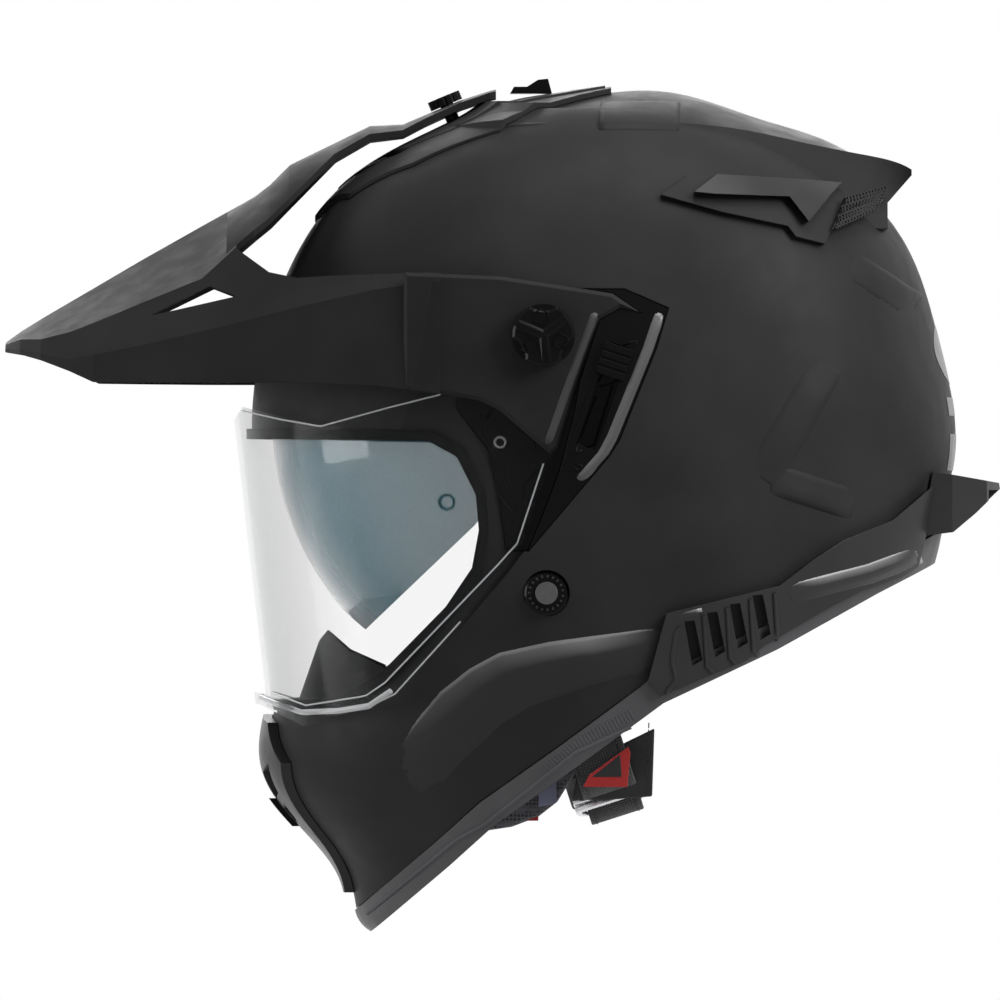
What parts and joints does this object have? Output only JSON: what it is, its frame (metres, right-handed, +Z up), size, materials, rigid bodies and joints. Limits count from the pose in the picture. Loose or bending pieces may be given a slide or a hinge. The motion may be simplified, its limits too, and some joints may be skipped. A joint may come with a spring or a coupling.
{
  "type": "dual sport helmet",
  "caption": "Full-face motorcycle helmet with a long bolt-on peak, flip-up clear visor, drop-down sun visor, vents and D-ring strap.",
  "frame": {"origin": "centre of the wearer's head, midway between the ears, as worn", "axes": "+X forward to the face, +Y to the wearer's left, +Z up"},
  "size_m": [0.437, 0.2646, 0.3749],
  "materials": {
    "shell": "matte lacquer",
    "peak_black": "matte",
    "satin_black": "satin",
    "gloss_black": "gloss",
    "clear_lens": "clear polished",
    "smoke_lens": "tinted polished",
    "trim_rubber": "matte",
    "liner_foam": "matte foam",
    "pad_fabric": "mesh fabric",
    "washer_black": "gloss",
    "rivet_steel": "polished",
    "ring_steel": "plated",
    "strap_webbing": "woven",
    "strap_padding": "padded cloth",
    "red_tab": "woven label",
    "grey_ribbon": "woven ribbon"
  },
  "bodies": {
    "helmet": {"outer_shell": "shell", "base_trim": "trim_rubber", "eyeport_seal": "trim_rubber", "peak": "peak_black", "mechanism_plate_left": "gloss_black", "mechanism_plate_right": "gloss_black", "side_cover_left": "gloss_black", "side_cover_right": "gloss_black", "sun_visor_pin_left": "gloss_black", "sun_visor_pin_right": "gloss_black", "top_vent_cover": "satin_black", "rear_blade_left": "gloss_black", "rear_blade_right": "gloss_black", "rear_cap_left": "satin_black", "rear_cap_right": "satin_black", "rear_grille_left": "satin_black", "rear_grille_right": "satin_black", "side_skirt_left": "satin_black", "side_skirt_right": "satin_black", "rear_diffuser": "satin_black", "chin_vent_cover": "satin_black", "crown_foam": "liner_foam", "chin_foam": "liner_foam", "crown_pad": "pad_fabric", "cheek_pad_left": "pad_fabric", "cheek_pad_right": "pad_fabric", "neck_roll": "pad_fabric", "breath_guard": "trim_rubber", "anchor_washer_left": "washer_black", "anchor_washer_right": "washer_black", "anchor_rivet_left": "rivet_steel", "anchor_rivet_right": "rivet_steel", "strap_left": "strap_webbing", "strap_right": "strap_webbing", "strap_pad": "strap_padding", "strap_tab": "red_tab", "d_ring_inner": "ring_steel", "d_ring_outer": "ring_steel", "pull_tab_left": "red_tab", "pull_tab_right": "red_tab", "pull_ribbon_left": "grey_ribbon", "pull_ribbon_right": "grey_ribbon"},
    "visor": {"visor": "clear_lens", "visor_pin_left": "gloss_black", "visor_pin_right": "gloss_black"},
    "sun_visor": {"sun_visor": "smoke_lens"},
    "sun_visor_slider": {"sun_visor_slider": "gloss_black"},
    "peak_knob_left": {"peak_knob_left": "gloss_black"},
    "peak_knob_right": {"peak_knob_right": "gloss_black"},
    "peak_screw": {"peak_screw": "gloss_black"},
    "top_vent_slider": {"top_vent_slider": "gloss_black"},
    "chin_vent_slider": {"chin_vent_slider": "gloss_black"}
  },
  "joints": [
    {"name": "visor_lift", "type": "hinge", "parent": "helmet", "child": "visor", "pos_m": [0.02508, 0, 0.07172], "axis": [0, -1, 0], "range_deg": [0, 35]},
    {"name": "sun_visor_swing", "type": "hinge", "parent": "helmet", "child": "sun_visor", "pos_m": [0.0176, 0, 0.0352], "axis": [0, -1, 0], "range_deg": [0, 43]},
    {"name": "sun_visor_slide", "type": "slide", "parent": "helmet", "child": "sun_visor_slider", "axis": [0.3008, 0.0549, -0.9521], "range_m": [0, 0.0285]},
    {"name": "peak_knob_left_turn", "type": "hinge", "parent": "helmet", "child": "peak_knob_left", "pos_m": [0.02508, 0.1, 0.07172], "axis": [0, 1, 0], "continuous": true},
    {"name": "peak_knob_right_turn", "type": "hinge", "parent": "helmet", "child": "peak_knob_right", "pos_m": [0.02508, -0.1, 0.07172], "axis": [0, -1, 0], "continuous": true},
    {"name": "peak_screw_turn", "type": "hinge", "parent": "helmet", "child": "peak_screw", "pos_m": [0.06732, 0, 0.17349], "axis": [0.3843, 0, 0.9232], "continuous": true},
    {"name": "top_vent_slide", "type": "slide", "parent": "helmet", "child": "top_vent_slider", "axis": [-1, 0, 0], "range_m": [0, 0.0075]},
    {"name": "chin_vent_slide", "type": "slide", "parent": "helmet", "child": "chin_vent_slider", "axis": [-0.58, 0, -0.8146], "range_m": [0, 0.008]}
  ],
  "couplings": [
    {"joint": "sun_visor_slide", "follows": "sun_visor_swing", "m_per_rad": 0.0373}
  ]
}
